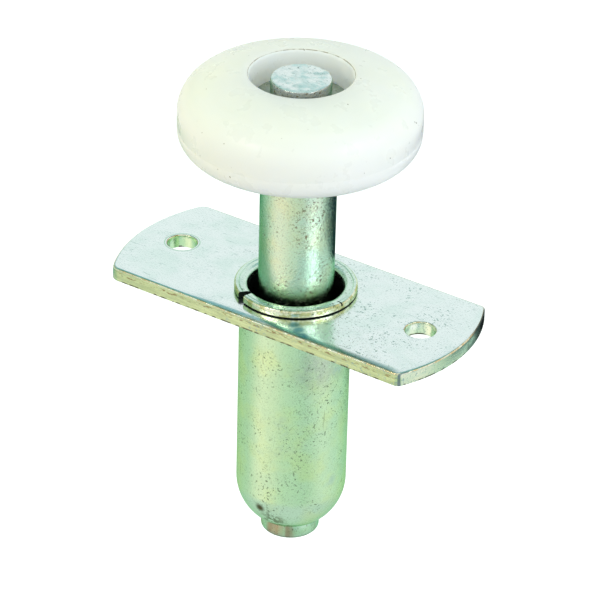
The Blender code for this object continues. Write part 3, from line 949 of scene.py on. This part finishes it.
def make_floor():
    bpy.ops.mesh.primitive_plane_add(size=8.0, location=(0, 0, FLOOR_Z))
    floor = bpy.context.active_object
    floor.name = "floor"
    floor.visible_diffuse = False
    floor.visible_glossy = False
    mat = bpy.data.materials.new("floor")
    mat.use_nodes = True
    shader = mat.node_tree.nodes["Principled BSDF"]
    shader.inputs["Base Color"].default_value = (0.80, 0.80, 0.80, 1.0)
    shader.inputs["Roughness"].default_value = 0.9
    shader.inputs["Specular IOR Level"].default_value = 0.0
    shader.inputs["Emission Color"].default_value = (1.0, 1.0, 1.0, 1.0)
    shader.inputs["Emission Strength"].default_value = 0.55
    floor.data.materials.append(mat)


def around(azimuth, elevation, distance):
    """A place seen from the object at an azimuth right of the camera, in degrees."""
    a = CAMERA_AZIMUTH + math.radians(azimuth)
    e = math.radians(elevation)
    return Vector((math.sin(a) * math.cos(e), -math.cos(a) * math.cos(e), math.sin(e))) * distance


def color_at(azimuth, stops):
    """Colour between the two stops round an azimuth, eased at both."""
    for (a0, c0), (a1, c1) in zip(stops, stops[1:]):
        if a0 <= azimuth <= a1:
            share = smooth_step((azimuth - a0) / (a1 - a0))
            return [v0 + (v1 - v0) * share for v0, v1 in zip(c0, c1)]
    return stops[-1][1]


def ring_panel(name, radius, low, high, stops):
    """A curved studio panel round the axis that only shows in reflections.

    Each stop is an azimuth right of the camera, in degrees, and the panel's light there.
    """
    start, end, steps = stops[0][0], stops[-1][0], 90
    azimuths = [start + (end - start) * i / steps for i in range(steps + 1)]
    points = []
    for azimuth in azimuths:
        place = around(azimuth, 0, radius)
        points += [(place.x, place.y, low), (place.x, place.y, high)]
    faces = [(2 * i, 2 * i + 2, 2 * i + 3, 2 * i + 1) for i in range(steps)]
    mesh = bpy.data.meshes.new(name)
    mesh.from_pydata(points, [], faces)
    layer = mesh.attributes.new("light", "FLOAT_COLOR", "POINT")
    for i, azimuth in enumerate(azimuths):
        for k in (2 * i, 2 * i + 1):
            layer.data[k].color = (*color_at(azimuth, stops), 1.0)
    obj = bpy.data.objects.new(name, mesh)
    bpy.context.scene.collection.objects.link(obj)
    obj.visible_camera = False
    obj.visible_shadow = False
    obj.visible_diffuse = False
    mat = bpy.data.materials.new(name)
    mat.use_nodes = True
    tree = mat.node_tree
    tree.nodes.clear()
    attribute = tree.nodes.new("ShaderNodeAttribute")
    attribute.attribute_name = "light"
    emission = tree.nodes.new("ShaderNodeEmission")
    output = tree.nodes.new("ShaderNodeOutputMaterial")
    tree.links.new(attribute.outputs["Color"], emission.inputs["Color"])
    tree.links.new(emission.outputs["Emission"], output.inputs["Surface"])
    mesh.materials.append(mat)


def make_cards():
    """Bright and tinted cards round the object: the upper ring lights the plunger, the lower the cup."""
    warm, cool, black = (1.12, 1.0, 0.88), (1.08, 1.05, 1.12), (0.02, 0.02, 0.02)
    dark_green, deep_blue, night_blue = (0.06, 0.22, 0.14), (0.03, 0.14, 0.28), (0.01, 0.03, 0.06)
    ring_panel("upper_cards", 0.12, -0.070, -0.030,
               [(-180, dark_green), (-140, (0.24, 0.48, 0.36)), (-104, (0.58, 0.74, 0.60)), (-62, warm),
                (-45, warm), (-12, (0.80, 0.85, 0.74)), (14, (0.66, 0.80, 0.78)), (44, cool), (66, cool),
                (86, (0.60, 0.80, 0.74)), (112, (0.56, 0.80, 0.80)), (160, (0.4, 0.6, 0.5)),
                (180, dark_green)])
    ring_panel("lower_cards", 0.12, -0.125, -0.070,
               [(-180, (0.5, 0.6, 0.45)), (-140, (0.80, 0.83, 0.68)), (-104, (0.68, 0.80, 0.67)),
                (-67, (1.18, 1.06, 0.90)), (-46, (1.0, 0.97, 0.80)), (-12, (0.72, 0.84, 0.68)),
                (30, (0.62, 0.77, 0.62)), (68, (0.90, 0.95, 0.84)), (103, (0.79, 0.90, 0.84)),
                (140, (0.72, 0.85, 0.76)), (180, (0.5, 0.6, 0.45))])
    ring_panel("dark_flag", 0.115, -0.0590, -0.028,
               [(85, (0.5, 0.7, 0.6)), (95, (0.06, 0.12, 0.16)), (104, night_blue),
                (150, night_blue), (172, (0.1, 0.2, 0.2))])
    ring_panel("corner_flag", 0.116, -0.078, -0.059, [(126, (0.5, 0.7, 0.6)), (140, black), (184, black)])
    ring_panel("low_blue_flag", 0.114, -0.0575, -0.0515,
               [(8, (0.66, 0.80, 0.78)), (18, deep_blue), (26, deep_blue), (36, (0.90, 0.92, 0.95))])
    ring_panel("left_flag", 0.36, 0.06, 0.30,
               [(-160, (0.5, 0.62, 0.5)), (-140, (0.34, 0.50, 0.38)), (-86, (0.30, 0.48, 0.32)),
                (-64, (0.80, 0.86, 0.74))])
    ring_panel("back_flag", 0.118, -0.080, -0.020, [(140, black), (184, black)])


def area_light(name, location, size, power, color, glossy=True):
    light = bpy.data.lights.new(name, "AREA")
    light.shape = "RECTANGLE"
    light.size, light.size_y = size
    light.energy = power
    light.color = color
    obj = bpy.data.objects.new(name, light)
    obj.location = location
    obj.rotation_euler = (Vector((0, 0, 0.02)) - location).to_track_quat("-Z", "Y").to_euler()
    obj.visible_camera = False
    obj.visible_glossy = glossy
    bpy.context.scene.collection.objects.link(obj)


def make_lights():
    area_light("left key", around(-50, 35, 0.6), (0.20, 0.06), 0.30, (1.0, 0.97, 0.78))
    area_light("right key", around(52, 33, 0.6), (0.26, 0.10), 0.24, (0.92, 0.98, 1.0))
    area_light("overhead fill", around(0, 74, 0.8), (0.8, 0.8), 1.38, (1.0, 0.93, 0.68), glossy=False)
    area_light("left fill", around(-95, 5, 0.8), (0.6, 0.6), 1.5, (1.0, 0.80, 0.10), glossy=False)
    area_light("right fill", around(60, 5, 0.8), (0.6, 0.6), 2.3, (0.72, 0.78, 1.0), glossy=False)


def make_world():
    """A bright room: even at mid height, a darker teal ceiling band, and white overhead."""
    world = bpy.data.worlds.new("studio")
    bpy.context.scene.world = world
    world.use_nodes = True
    tree = world.node_tree
    direction = tree.nodes.new("ShaderNodeTexCoord").outputs["Generated"]
    split = tree.nodes.new("ShaderNodeSeparateXYZ")
    tree.links.new(direction, split.inputs["Vector"])
    ramp = tree.nodes.new("ShaderNodeValToRGB")
    tree.links.new(split.outputs["Z"], ramp.inputs["Fac"])
    bands = [(0.0, (0.78, 0.84, 0.86)), (0.15, (0.92, 0.98, 0.94)), (0.60, (0.94, 0.97, 0.97)),
             (0.74, (0.16, 0.42, 0.40)), (0.88, (0.24, 0.52, 0.48)), (0.97, (0.95, 1.0, 0.95))]
    elements = ramp.color_ramp.elements
    elements[0].position, elements[0].color = bands[0][0], (*bands[0][1], 1.0)
    elements[1].position, elements[1].color = bands[-1][0], (*bands[-1][1], 1.0)
    for position, color in bands[1:-1]:
        elements.new(position).color = (*color, 1.0)
    background = tree.nodes["Background"]
    tree.links.new(ramp.outputs["Color"], background.inputs["Color"])
    background.inputs["Strength"].default_value = 0.95
    bpy.context.scene.view_settings.view_transform = "Standard"


def make_camera():
    back = around(0, math.degrees(CAMERA_ELEVATION), 1.0)
    right = Vector((0, 0, 1)).cross(back).normalized()
    up = back.cross(right)
    rolled_right = right * math.cos(CAMERA_ROLL) + up * math.sin(CAMERA_ROLL)
    rolled_up = up * math.cos(CAMERA_ROLL) - right * math.sin(CAMERA_ROLL)
    camera = bpy.data.objects.new("camera", bpy.data.cameras.new("camera"))
    bpy.context.scene.collection.objects.link(camera)
    rotation = Matrix((rolled_right, rolled_up, back)).transposed()
    place = back * CAMERA_DISTANCE + Vector((0, 0, PLATE_TOP))
    camera.matrix_world = Matrix.Translation(place) @ rotation.to_4x4()
    camera.data.sensor_width = 36.0
    camera.data.lens = CAMERA_LENS
    camera.data.shift_x, camera.data.shift_y = CAMERA_SHIFT
    camera.data.clip_start = 0.01
    bpy.context.scene.camera = camera


def main():
    plunger_zinc = rod_zinc()
    grey_steel = plain_steel("grey_steel", WASHER_GREY, WASHER_SHADE, 0.32)
    spring_steel = plain_steel("spring_steel", SPRING_GREY, SPRING_SHADE, 0.3)
    make_plate(plate_zinc())
    make_cup(cup_zinc(), painted_shade_bore())
    make_rod(plunger_zinc, sheared_zinc(), foot_zinc())
    make_sleeve(plunger_zinc)
    make_collar(plunger_zinc)
    make_wheel(nylon())
    make_washer("retaining_washer", "plunger", ROD_RADIUS + 0.05 * MM, grey_steel)
    make_washer("thrust_washer", "plunger", ROD_RADIUS + 0.1 * MM, grey_steel)
    make_washer("spring_seat", "root", SHANK_RADIUS + 0.3 * MM, grey_steel)
    make_spring(spring_steel)
    make_floor()
    make_world()
    make_lights()
    make_cards()
    make_camera()


main()
